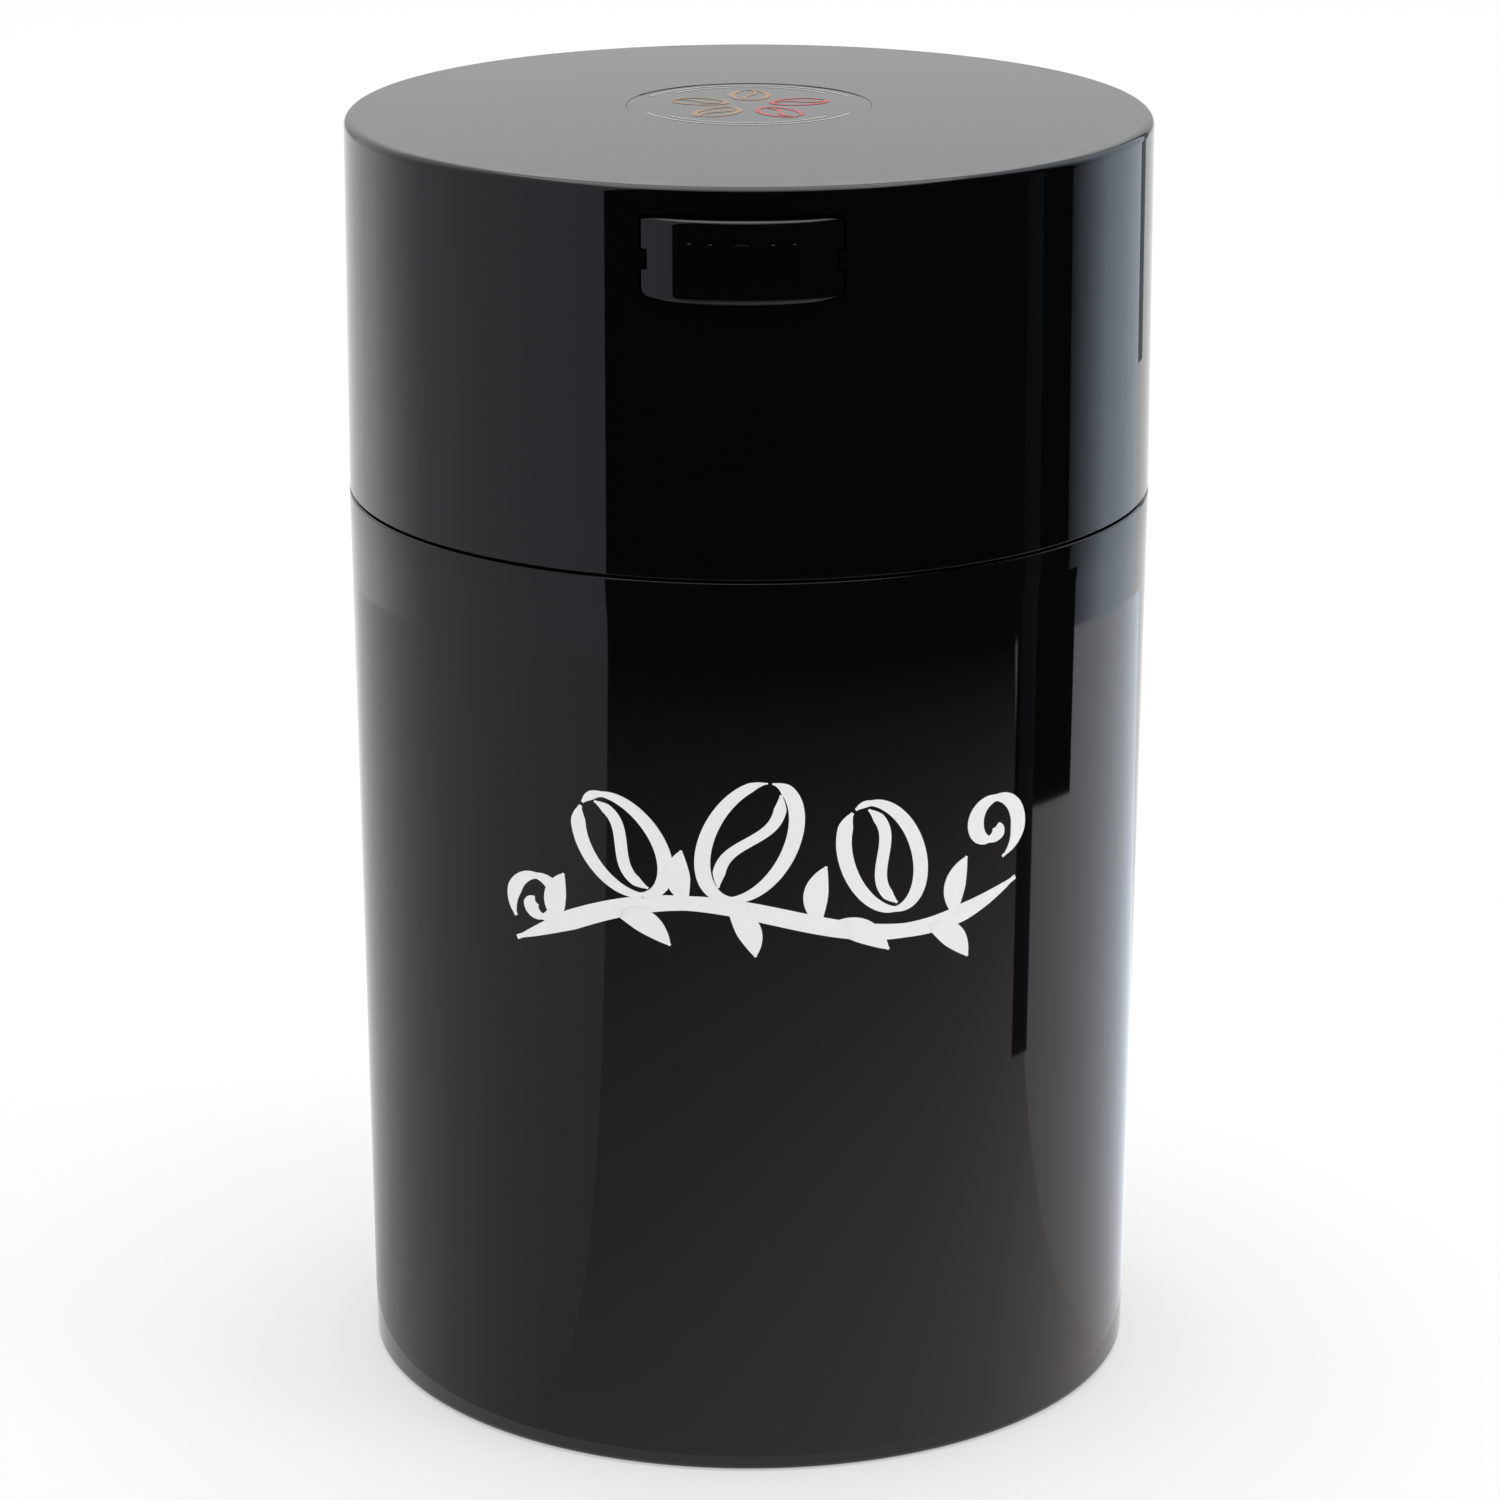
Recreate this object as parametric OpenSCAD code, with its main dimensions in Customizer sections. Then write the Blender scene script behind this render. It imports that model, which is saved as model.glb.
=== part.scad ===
// Round coffee canister with a lift-off cap. A push button in the cap opens a small air valve.
// The origin is on the table under the middle of the canister, +Z is up, and the button faces -Y.
// All sizes are in millimetres.

/* [Body] */
// Diameter of the canister at its shoulder, under the cap
canister_d = 120.6; // [100:0.1:160]
// Height of the shoulder above the table
body_h = 136.85; // [80:0.05:220]
// How much smaller the radius is at the base than at the shoulder
body_taper = 1.43; // [0.4:0.01:4]
// Thickness of the body's side
body_wall = 2.2; // [1.8:0.1:4]
// Thickness of the floor
floor_t = 2.4; // [1.5:0.1:5]
// Depth of the hollow under the floor
foot_hollow = 1.6; // [0.6:0.1:4]
// Width of the flat ring that the canister stands on
foot_w = 5; // [3:0.5:10]
// Rounding where the side meets the table
base_round = 1.2; // [0.4:0.1:2.5]
// Rounding inside, where the side meets the floor
floor_round = 3; // [1:0.5:8]
// Rounding of the shoulder's outer edge
shoulder_round = 0.4; // [0.2:0.05:0.6]

/* [Neck] */
// Height of the neck above the shoulder
neck_h = 33.15; // [20:0.05:60]
// Thickness of the neck
neck_wall = 2.2; // [1.4:0.1:4]
// Thickness of the flange that carries the neck
collar_t = 1.6; // [1:0.1:3]
// Width of the body's rim around that flange
rim_w = 1; // [0.8:0.05:1.4]
// Depth of the ring that centres the collar in the body
spigot_h = 3; // [1:0.5:8]
// Thickness of that ring
spigot_wall = 1.4; // [0.8:0.1:2]

/* [Cap] */
// Gap of the seam between the cap and the shoulder
seam_gap = 0.35; // [0.2:0.05:0.8]
// How far the cap's rim stands back from the shoulder
rim_step = 0.025; // [0:0.005:0.3]
// How much smaller the cap's radius is at the top than at the rim
cap_taper = 0.275; // [0:0.005:1]
// Thickness of the cap's side, at the top
cap_wall = 2.5; // [1.8:0.1:4]
// Thickness of the cap's top, at its edge
cap_top_t = 2.2; // [1.5:0.1:4]
// Rise of the crowned top from its edge to its middle
crown_h = 1; // [0.2:0.05:4]
// Rounding of the cap's top edge
cap_round = 1.3; // [0.5:0.1:2]
// Rounding of the cap's rim
rim_round = 0.3; // [0.1:0.05:0.8]
// Diameter of the inlay in the top
label_d = 36.4; // [20:0.2:80]
// Thickness of the inlay
label_t = 0.3; // [0.2:0.05:0.8]

/* [Inner cap] */
// Thickness of the skirt that goes over the neck
skirt_wall = 1.6; // [1:0.1:3]
// Gap between the skirt and the neck
neck_gap = 0.7; // [0.4:0.05:1.5]
// Height of the skirt's lower edge above the cap's rim
skirt_up = 2.4; // [1.4:0.1:6]
// Thickness of the flange that the cap clips over
skirt_flange_t = 1.6; // [0.8:0.1:3]
// Width of the step in the cap that this flange meets
step_w = 0.6; // [0.4:0.05:1]
// Thickness of the ceiling
ceiling_t = 2; // [1.2:0.1:4]
// Thickness of the gasket
gasket_t = 2.4; // [1.6:0.1:4]
// How far the gasket stands out of its groove
gasket_out = 1; // [0.4:0.1:1.2]
// Thickness of the ceiling over and beside the groove
groove_wall = 2; // [1.2:0.1:3]

/* [Button] */
// Width of the button
button_w = 28; // [24:0.5:36]
// Height of the button, in its middle
button_h = 12.05; // [9:0.05:12.4]
// How far the middle of the button bulges out of the cap
button_bulge = 2; // [0.5:0.1:4]
// How much the button's lower edge rises to its ends
button_sag = 0.8; // [0:0.1:2]
// Rounding of the button's lower corners
button_round = 1.2; // [0.6:0.1:2]
// Rounding of the button's upper and lower edges
edge_round = 1.1; // [0.3:0.1:1.6]
// Thickness of the button's walls
button_wall = 1.8; // [1.2:0.1:2.4]
// Width of the lip that keeps the button in its window
lip_w = 1.4; // [0.8:0.1:2]
// Thickness of that lip
lip_t = 1.8; // [1:0.1:2.4]
// Travel of the button when it is pressed
button_travel = 2.5; // [1.5:0.1:3]
// Height of the notch in the middle of each end of the button
notch_h = 3; // [2:0.1:5]
// Depth of that notch
notch_d = 0.8; // [0.5:0.05:1.2]
// Height of the raised marks on the button
mark_out = 0.3; // [0.1:0.05:0.6]
// Width of their lines
mark_line = 0.7; // [0.4:0.05:1]
// Height of the group of marks
mark_h = 5.4; // [3:0.1:7]

/* [Valve] */
// Distance of the valve from the inside of the cap's wall
valve_in = 17.5; // [15.5:0.1:24]
// Diameter of the hole through the seat
seat_bore = 6; // [4:0.1:6.4]
// Thickness of the seat's wall
seat_wall = 1.4; // [1:0.1:2]
// Height of the seat above the ceiling
seat_h = 2; // [1:0.1:4]
// Diameter of the plug
plug_d = 10.4; // [9:0.1:12]
// Thickness of the plug
plug_t = 2.6; // [1.5:0.1:4]
// Thickness of the stem's flange on the plug
stem_flange_t = 1.2; // [0.8:0.1:2]
// Width of the square shank between the prongs
shank_w = 3.2; // [2.4:0.1:3.6]
// Diameter of the stem's head
head_d = 8; // [7:0.1:10]
// Thickness of the head over its slope
head_t = 1.8; // [1:0.1:3]
// Steepness of the slope, in degrees
ramp_angle = 35; // [25:1:40]
// Thickness of the wall of the boss that guides the head
boss_wall = 1.4; // [1:0.1:2]
// Thickness of the button's tongue and prongs
tongue_t = 2.6; // [2:0.1:4]
// Width of the tongue
tongue_w = 12; // [10:0.5:14]
// Width of each prong
prong_w = 2.7; // [2:0.1:3.4]
// Thickness of a prong at its tip
tip_t = 1.2; // [0.8:0.1:1.6]

/* [Springs] */
// Length of the valve's spring at rest
valve_spring_l = 3.68; // [3.2:0.02:8]
// Diameter of the valve's spring, between wire centres
valve_spring_d = 5.8; // [5:0.1:6]
// Thickness of its wire
valve_wire = 0.4; // [0.3:0.05:0.5]
// Number of its turns
valve_turns = 3; // [2:1:4]
// Length of the button's springs at rest
button_spring_l = 7.9; // [7.4:0.1:8.5]
// Diameter of the button's springs, between wire centres
button_spring_d = 4.2; // [3.8:0.1:5]
// Thickness of their wire
button_wire = 0.5; // [0.4:0.05:0.7]
// Number of their turns
button_turns = 4; // [3:1:6]

/* [Clearances] */
// Gap between pieces that are pushed together and stay
fit_gap = 0.1; // [0.05:0.01:0.2]
// Gap between a sliding piece and what it slides past
slide_gap = 0.3; // [0.2:0.05:0.4]
// Gap round a shaft in its guide
guide_gap = 0.06; // [0.02:0.01:0.1]

/* [Hidden] */
$fn = 96;

// Radii, from the outside inwards
shoulder_r = canister_d / 2;
base_r = shoulder_r - body_taper;
foot_in_r = base_r - base_round - foot_w;
rim_in_r = shoulder_r - rim_w;
collar_r = rim_in_r - fit_gap;
cap_rim_r = shoulder_r - rim_step;
cap_top_r = cap_rim_r - cap_taper;
cap_bore_r = cap_top_r - cap_wall;
pocket_r = cap_bore_r + step_w;
skirt_flange_r = pocket_r - fit_gap;
skirt_r = cap_bore_r - fit_gap;
skirt_in_r = skirt_r - skirt_wall;
neck_r = skirt_in_r - neck_gap;
neck_in_r = neck_r - neck_wall;
gasket_r = skirt_in_r - slide_gap;
gasket_in_r = neck_in_r - slide_gap;
groove_in_r = gasket_in_r - slide_gap;
ceiling_ring_r = groove_in_r - groove_wall;
valve_r = cap_bore_r - valve_in;

// Heights of the body and the neck
floor_z = foot_hollow + floor_t;
collar_z = body_h - collar_t;
spigot_z = collar_z - spigot_h;
spigot_r = side_r(spigot_z) - body_wall - fit_gap;
neck_top = body_h + neck_h;
// Bevel on the neck's mouth
edge_break = 0.3;

// Heights of the cap and its lining
rim_z = body_h + seam_gap;
skirt_z = rim_z + skirt_up;
step_z = skirt_z + skirt_flange_t;
ceiling_z = neck_top + gasket_out;
groove_z = neck_top + gasket_t;
ring_z = groove_z + groove_wall;
room_z = ceiling_z + ceiling_t;
bead = step_w * 2 / 3;

// Heights of the valve, from its seat upwards. The head rides up as far as the button's ramp rises.
ramp = tan(ramp_angle);
lift = button_travel * ramp;
seat_z = room_z + seat_h;
plug_z = seat_z + plug_t;
flange_z = plug_z + stem_flange_t;
tongue_z = flange_z + lift + 1.5 * slide_gap;
tip_z = tongue_z + tip_t;
head_z = tip_z - slide_gap;
head_r = head_d / 2;
tip_y = fit_gap - valve_r;
head_front_z = tip_z + slide_gap + ramp * (tip_y + valve_r + head_r);
head_top = head_front_z + head_t;
room_top = head_top + valve_spring_l;
top_z = room_top + cap_top_t;
spring_z = tongue_z + tongue_t / 2;

// The stem's flange stops short of the plug's edge, and thin wings guide it in the seat's hole
stem_step = 0.8;
wing_t = 0.8;

// The boss hangs from the cap over the head, clear of the prongs that pass under it
boss_r = head_r + guide_gap + boss_wall;
boss_z = tongue_z + tongue_t + 1.5 * slide_gap;

// The inlay lies in a recess a hair deeper than it is thick
label_r = label_d / 2;
recess_r = label_r + fit_gap;
recess_z = crown_z(recess_r) - label_t - fit_gap / 2;

// The button, in its window
button_top = room_top - 2 * slide_gap - lip_w;
button_low = button_top - button_h;
button_mid = (button_top + button_low) / 2;
half_w = button_w / 2;
cap_face_r = cap_side_r(button_mid);
cap_sag = cap_face_r - sqrt(cap_face_r * cap_face_r - half_w * half_w);
face_depth = button_bulge + cap_sag;
face_r = (half_w * half_w + face_depth * face_depth) / (2 * face_depth);
face_front = -(cap_face_r + button_bulge);
face_y = face_front + face_r;
lip_r = cap_bore_r - slide_gap;
lip_in_r = lip_r - lip_t;
upper_round = button_round / 3;
least_round = 0.2;

// The bar behind the button carries the springs, and it stops against the rails
bar_t = 1.8;
bar_y = bar_t - lip_in_r;
rail_y = bar_y + button_travel + slide_gap;
rail_x = tongue_w / 2 + slide_gap;
rail_w = 1.6;
spring_x = rail_x + rail_w + slide_gap + (button_spring_d + button_wire) / 2;
post_y = bar_y + button_spring_l;
post_t = 1.8;
post_r = (button_spring_d + button_wire) / 2 + slide_gap;
pin_r = button_spring_d / 2 - button_wire / 2 - slide_gap;
pin_l = button_spring_l / 4;
shelf_end_y = -valve_r - plug_d / 2 - 2 * slide_gap;
slot_w = shank_w + 2 * slide_gap;
slot_y = -valve_r - shank_w / 2 - button_travel - 1;
guide_top = tongue_z + tongue_t + slide_gap;

// Radius of the body's side at a height
function side_r(z) = base_r + (shoulder_r - base_r) * z / body_h;
// Radius of the cap's side at a height
function cap_side_r(z) = cap_rim_r - cap_taper * (z - rim_z) / (top_z - rim_z);
// Height of the crowned top at a radius
function crown_z(r) = top_z + crown_h * (1 - pow(r / (cap_top_r - cap_round), 2));
// Points on an arc about (x, z), from angle a to angle b
function arc(x, z, r, a, b, n = 8) = [
    for (i = [0:n]) [x + r * cos(a + (b - a) * i / n), z + r * sin(a + (b - a) * i / n)]
];
// Outline of the button seen from the front, with all its sides moved out by a distance
function button_outline(out = 0) =
    let (
        hi = max(upper_round + out, least_round),
        lo = max(button_round + out, least_round),
        w = half_w + out,
        top = button_top + out,
        low = button_low + button_sag - out
    )
    concat(
        arc(w - hi, top - hi, hi, 0, 90, 4),
        arc(hi - w, top - hi, hi, 90, 180, 4),
        arc(lo - w, low + lo, lo, 180, 255, 5),
        [for (i = [-5:5]) sag_point(i * (w - lo) / 6, out)],
        arc(w - lo, low + lo, lo, 285, 360, 5)
    );
function sag_point(x, out) = [x, button_low + button_sag * pow(x / half_w, 2) - out];

// Pushes a drawing of the front view along Y, from y towards the front
module forward(y, depth) {
    translate([0, y, 0]) rotate([90, 0, 0]) linear_extrude(depth) children();
}

// Pushes a drawing of the side view along X, over a width that starts at x
module across(x, width) {
    translate([x, 0, 0]) rotate([90, 0, 90]) linear_extrude(width) children();
}

// An upright box between two corners
module box(low, high) {
    translate(low) cube(high - low);
}

// A coil of wire that stands on Z = 0, open at both ends
module coil(d, wire, turns, length) {
    rings = 8 * turns;
    sides = 6;
    slope = (length - wire) / (turns * 360);
    lead = atan(slope * 360 / (PI * d));
    points = [
        for (i = [0:rings], k = [0:sides - 1])
            let (t = 360 * turns * i / rings, a = 30 + 360 * k / sides, u = wire / 2 * cos(a), v = wire / 2 * sin(a))
            [
                (d / 2 + u) * cos(t) + v * sin(lead) * sin(t),
                (d / 2 + u) * sin(t) - v * sin(lead) * cos(t),
                wire / 2 + slope * t + v * cos(lead)
            ]
    ];
    sheath = [
        for (i = [0:rings - 1], k = [0:sides - 1])
            let (a = i * sides + k, b = i * sides + (k + 1) % sides)
            each [[a, b, a + sides], [b, b + sides, a + sides]]
    ];
    first_end = [for (k = [1:sides - 2]) [0, k + 1, k]];
    last_end = [for (k = [1:sides - 2]) [rings * sides, rings * sides + k, rings * sides + k + 1]];
    polyhedron(points, concat(sheath, first_end, last_end));
}

// The outer cup, with the foot ring below and the seat for the collar at its mouth
module body_shell() {
    mouth_r = side_r(collar_z) - body_wall;
    corner_r = side_r(floor_z) - body_wall - floor_round;
    color("#1c1c1e")
    rotate_extrude()
        polygon(concat(
            [[0, foot_hollow], [foot_in_r - foot_hollow, foot_hollow], [foot_in_r, 0]],
            arc(base_r - base_round, base_round, base_round, -90, 0),
            arc(shoulder_r - shoulder_round, body_h - shoulder_round, shoulder_round, 0, 90),
            [[rim_in_r, body_h], [rim_in_r, collar_z], [mouth_r, collar_z]],
            arc(corner_r, floor_z + floor_round, floor_round, 0, -90),
            [[0, floor_z]]
        ));
}

// The ring that is welded into the body's mouth and carries the neck
module neck_collar() {
    color("#3a3a3c")
    rotate_extrude()
        polygon([
            [neck_in_r, collar_z],
            [spigot_r - spigot_wall, collar_z],
            [spigot_r - spigot_wall, spigot_z],
            [spigot_r, spigot_z],
            [spigot_r, collar_z],
            [collar_r, collar_z],
            [collar_r, body_h],
            [neck_r, body_h],
            [neck_r, neck_top - edge_break],
            [neck_r - edge_break, neck_top],
            [neck_in_r + edge_break, neck_top],
            [neck_in_r, neck_top - edge_break]
        ]);
}

// The cap, turned from one profile, with the window cut in and the boss hung from its top
module cap_shell() {
    color("#202022") {
        difference() {
            rotate_extrude() polygon(cap_profile());
            forward(-cap_bore_r * 0.8, cap_rim_r) window();
        }
        translate([0, -valve_r, boss_z])
            difference() {
                cylinder(r = boss_r, h = room_top - boss_z + fit_gap);
                translate([0, 0, -1]) cylinder(r = head_r + guide_gap, h = room_top - boss_z + 1);
            }
    }
}

function cap_profile() = concat(
    [[pocket_r, rim_z]],
    arc(cap_rim_r - rim_round, rim_z + rim_round, rim_round, -90, 0, 4),
    arc(cap_top_r - cap_round, top_z - cap_round, cap_round, 0, 90),
    [for (i = [1:11]) let (r = cap_top_r - cap_round + (recess_r - cap_top_r + cap_round) * i / 11) [r, crown_z(r)]],
    [[recess_r, recess_z], [0, recess_z], [0, room_top], [cap_bore_r, room_top]],
    [[cap_bore_r, step_z], [pocket_r, step_z], [pocket_r, skirt_z - fit_gap]],
    [[pocket_r - bead, skirt_z - fit_gap - bead], [pocket_r, skirt_z - fit_gap - 2 * bead]]
);

// The window's outline, with a tab at each end that reaches into the button's notch
module window() {
    difference() {
        polygon(button_outline(slide_gap));
        for (side = [-1, 1])
            translate([side * (half_w + slide_gap), button_mid])
                square([2 * notch_d, notch_h - 2 * slide_gap], center = true);
    }
}

// The inlay in the top, crowned like the cap
module top_label() {
    color("#4a4038")
    rotate_extrude()
        polygon(concat(
            [[0, recess_z], [label_r, recess_z]],
            [for (i = [0:4]) let (r = label_r * (1 - i / 4)) [r, crown_z(r) - fit_gap / 2]]
        ));
}

// The lining: skirt, ceiling with the gasket's groove, the valve's seat, and the button's guides
module inner_cap() {
    color("#5c5c60")
    difference() {
        union() {
            rotate_extrude()
                polygon([
                    [0, ceiling_z],
                    [groove_in_r, ceiling_z],
                    [groove_in_r, groove_z],
                    [skirt_in_r, groove_z],
                    [skirt_in_r, skirt_z],
                    [skirt_flange_r, skirt_z],
                    [skirt_flange_r, step_z],
                    [skirt_r, step_z],
                    [skirt_r, ring_z],
                    [ceiling_ring_r, ring_z],
                    [ceiling_ring_r, room_z],
                    [0, room_z]
                ]);
            translate([0, -valve_r, ceiling_z])
                cylinder(d = seat_bore + 2 * seat_wall, h = seat_z - ceiling_z);
            button_guides();
        }
        translate([0, -valve_r, ceiling_z - 1]) cylinder(d = seat_bore, h = seat_z - ceiling_z + 2);
    }
}

// A shelf under the tongue, a rail on each side of it, and a post with a pin for each spring
module button_guides() {
    foot = ceiling_z + fit_gap;
    box([-rail_x - rail_w, rail_y, foot], [rail_x + rail_w, shelf_end_y, tongue_z - slide_gap]);
    for (side = [0, 1])
        mirror([side, 0, 0]) {
            box([rail_x, rail_y, foot], [rail_x + rail_w, post_y + post_t, guide_top]);
            box([rail_x, post_y, foot], [spring_x + post_r, post_y + post_t, spring_z + post_r]);
            translate([spring_x, post_y + 1, spring_z]) rotate([90, 0, 0]) cylinder(r = pin_r, h = pin_l + 1);
        }
}

// The silicone ring in the ceiling's groove, resting on the neck
module lid_gasket() {
    color("#d8dad8")
    rotate_extrude()
        translate([gasket_in_r, neck_top])
            square([gasket_r - gasket_in_r, gasket_t]);
}

// The button: a hollow bulging face with a lip behind the window, its marks, bar, tongue and prongs
module button() {
    color("#2c2c30") {
        difference() {
            union() {
                intersection() {
                    forward(-lip_in_r / 2, cap_rim_r) notched_outline();
                    face_solid();
                }
                intersection() {
                    forward(-lip_in_r / 2, cap_rim_r) polygon(button_outline(lip_w));
                    cylinder(r = lip_r, h = top_z);
                }
            }
            translate([0, 0, -1]) cylinder(r = lip_in_r, h = top_z + 2);
            intersection() {
                forward(-lip_in_r / 2, cap_rim_r) polygon(button_outline(-button_wall));
                face_hollow();
            }
        }
        difference() {
            intersection() {
                forward(-lip_r, cap_rim_r) marks();
                face_solid(mark_out);
            }
            face_hollow();
        }
        box(
            [-half_w + button_wall / 2, -lip_in_r, tongue_z - 1],
            [half_w - button_wall / 2, bar_y, tongue_z + tongue_t + 1]
        );
        box(
            [-tongue_w / 2, face_front + button_wall, tongue_z],
            [tongue_w / 2, slot_y, tongue_z + tongue_t]
        );
        for (side = [0, 1])
            mirror([side, 0, 0]) {
                across(slot_w / 2, prong_w) polygon(prong_profile());
                translate([spring_x, bar_y + pin_l, spring_z])
                    rotate([90, 0, 0]) cylinder(r = pin_r, h = pin_l + 1);
            }
    }
}

// The button's outline with the notch in each end
module notched_outline() {
    difference() {
        polygon(button_outline());
        for (side = [-1, 1])
            translate([side * half_w, button_mid]) square([2 * notch_d, notch_h], center = true);
    }
}

// The bulging face as a turned solid with rounded edges, moved out by a distance
module face_solid(out = 0) {
    translate([0, face_y, 0])
        rotate_extrude()
            polygon(concat(
                [[0, button_low]],
                arc(face_r - edge_round, button_low + edge_round, edge_round + out, -90, 0),
                arc(face_r - edge_round, button_top - edge_round, edge_round + out, 0, 90),
                [[0, button_top]]
            ));
}

// The space behind the face, left open at the back
module face_hollow() {
    translate([0, face_y, button_low]) cylinder(r = face_r - button_wall, h = button_h);
}

// The marks: a ring with two arcs on each side of it
module marks() {
    translate([0, button_mid])
        for (size = [mark_h / 2, mark_h, mark_h * 3 / 2])
            intersection() {
                difference() {
                    circle(r = size);
                    circle(r = size - mark_line);
                }
                square([4 * mark_h, mark_h], center = true);
            }
}

// Side view of a prong, sloped at its tip like the stem's head
function prong_profile() = [
    [slot_y - 1, tongue_z],
    [tip_y, tongue_z],
    [tip_y, tip_z],
    [tip_y - (tongue_t - tip_t) / ramp, tongue_z + tongue_t],
    [slot_y - 1, tongue_z + tongue_t]
];

// The two coils between the bar and the posts
module button_springs() {
    color("#b8bcc0")
    for (x = [-spring_x, spring_x])
        translate([x, bar_y, spring_z])
            rotate([-90, 0, 0]) coil(button_spring_d, button_wire, button_turns, button_spring_l);
}

// The stem: wings in the seat's hole, a flange on the plug, a square shank, and the sloped head
module valve_stem() {
    wing_r = seat_bore / 2 - guide_gap;
    wing_z = ceiling_z + slide_gap;
    wing_top = seat_z - slide_gap;
    slope_y = tip_y + 2 * slide_gap / ramp;
    color("#e4e4e0") {
        translate([0, -valve_r, 0]) {
            for (turn = [0, 90])
                rotate([0, 0, turn])
                    intersection() {
                        box([-wing_r, -wing_t / 2, wing_z], [wing_r, wing_t / 2, wing_top]);
                        cylinder(r = wing_r, h = top_z);
                    }
            translate([0, 0, wing_z]) cylinder(r = stem_r(), h = plug_z - wing_z + fit_gap);
            translate([0, 0, plug_z]) cylinder(r = plug_d / 2 - stem_step, h = stem_flange_t);
            box([-shank_w / 2, -shank_w / 2, plug_z + fit_gap], [shank_w / 2, shank_w / 2, head_front_z]);
            translate([0, 0, head_top - fit_gap]) cylinder(r = head_r / 2, h = valve_spring_l / 3 + fit_gap);
        }
        difference() {
            translate([0, -valve_r, head_z]) cylinder(r = head_r, h = head_top - head_z);
            across(-head_r - 1, 2 * head_r + 2)
                polygon([
                    [slope_y, head_z],
                    [-valve_r - head_r - 1, head_front_z + ramp],
                    [-valve_r - head_r - 1, head_z - 1],
                    [slope_y, head_z - 1]
                ]);
        }
    }
}

// Radius of the stem inside the plug
function stem_r() = seat_bore / 4;

// The silicone disc on the seat, with a hole for the stem
module valve_plug() {
    color("#c0562c")
    translate([0, -valve_r, seat_z])
        difference() {
            cylinder(d = plug_d, h = plug_t);
            translate([0, 0, -1]) cylinder(r = stem_r() + fit_gap, h = plug_t + 2);
        }
}

// The coil between the stem's head and the cap's top, inside the boss
module valve_spring() {
    color("#b8bcc0")
    translate([0, -valve_r, head_top]) coil(valve_spring_d, valve_wire, valve_turns, valve_spring_l);
}

body_shell();
neck_collar();
cap_shell();
top_label();
inner_cap();
lid_gasket();
button();
button_springs();
valve_stem();
valve_plug();
valve_spring();
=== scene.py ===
"""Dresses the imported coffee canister: gloss black cup and cap, button, ornaments, studio and camera."""

import logging
import math
from collections.abc import Callable
from dataclasses import dataclass
from enum import Enum

import bpy
import numpy as np
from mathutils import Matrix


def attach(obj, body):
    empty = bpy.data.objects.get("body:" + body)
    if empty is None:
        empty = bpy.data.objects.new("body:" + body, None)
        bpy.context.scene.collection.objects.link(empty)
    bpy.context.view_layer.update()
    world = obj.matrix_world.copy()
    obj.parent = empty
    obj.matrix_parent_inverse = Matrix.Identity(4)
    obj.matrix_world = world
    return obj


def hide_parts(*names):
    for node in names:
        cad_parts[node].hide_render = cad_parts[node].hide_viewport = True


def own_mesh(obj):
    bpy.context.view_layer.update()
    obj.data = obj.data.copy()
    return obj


Colour = tuple[float, float, float]
Wrap = Callable[[np.ndarray, float], np.ndarray]

MM = 0.001
TINY = 1e-9
log = logging.getLogger("canister")

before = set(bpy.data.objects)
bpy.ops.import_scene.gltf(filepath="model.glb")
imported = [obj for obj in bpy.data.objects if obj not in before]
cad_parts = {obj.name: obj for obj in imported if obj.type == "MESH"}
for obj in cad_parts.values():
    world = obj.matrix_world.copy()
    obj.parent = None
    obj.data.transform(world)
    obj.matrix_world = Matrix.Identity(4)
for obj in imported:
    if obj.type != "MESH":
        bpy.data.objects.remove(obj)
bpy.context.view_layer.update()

# Sockets that share a name with others of their node, and so go by number
MIX_FACTOR = 0
MIX_FIRST_COLOUR = 6
MIX_SECOND_COLOUR = 7
MIX_COLOUR_OUT = 2
MIX_FIRST_SHADER = 1
MIX_SECOND_SHADER = 2

# Moulded surfaces
REFRACTION = 1.5
SCATTER_SCALE = 2 * MM
FINE_TIMES = 12
COARSE_DETAIL = 3.0
FINE_DETAIL = 2.0
TEXTURE_STRENGTH = 0.6

# Meshes: angles in degrees, the distance in metres
NEW_SHARP_ANGLE = 25.0
MERGED_SHARP_ANGLE = 24
MERGE_DISTANCE = 1e-6
ROUND_SIDES = 256
INLAY_SIDES = 128
RIBBON_SIDES = 4
CARD_STEPS_ROUND = 48
CARD_STEPS_UP = 8


class Slot(Enum):
    """The record's material slots."""

    BODY = "body_gloss"
    CAP = "cap_gloss"
    BUTTON = "button_gloss"
    INLAY = "inlay"
    INNER = "inner_black"
    SILICONE = "silicone"
    VALVE = "valve_silicone"
    ACETAL = "acetal"
    STEEL = "spring_steel"


class Sock:
    """A node's output, with the operators that the finishes use."""

    def __init__(self, shader: "Shader", socket: bpy.types.NodeSocket) -> None:
        """Keeps the shader and the socket."""
        self.shader = shader
        self.socket = socket

    def _math(self, operation: str, other: "Sock | float") -> "Sock":
        """Adds a Math node on this value and another."""
        return self.shader.node("ShaderNodeMath", {"operation": operation}, {0: self, 1: other})

    def __add__(self, other: "Sock | float") -> "Sock":
        """self + other."""
        return self._math("ADD", other)

    __radd__ = __add__

    def __mul__(self, other: "Sock | float") -> "Sock":
        """self * other."""
        return self._math("MULTIPLY", other)

    __rmul__ = __mul__

    def at_least(self, other: "Sock | float") -> "Sock":
        """The larger of two values."""
        return self._math("MAXIMUM", other)

    def beside(self, name: str) -> "Sock":
        """Another output of the same node."""
        return Sock(self.shader, self.socket.node.outputs[name])


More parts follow.
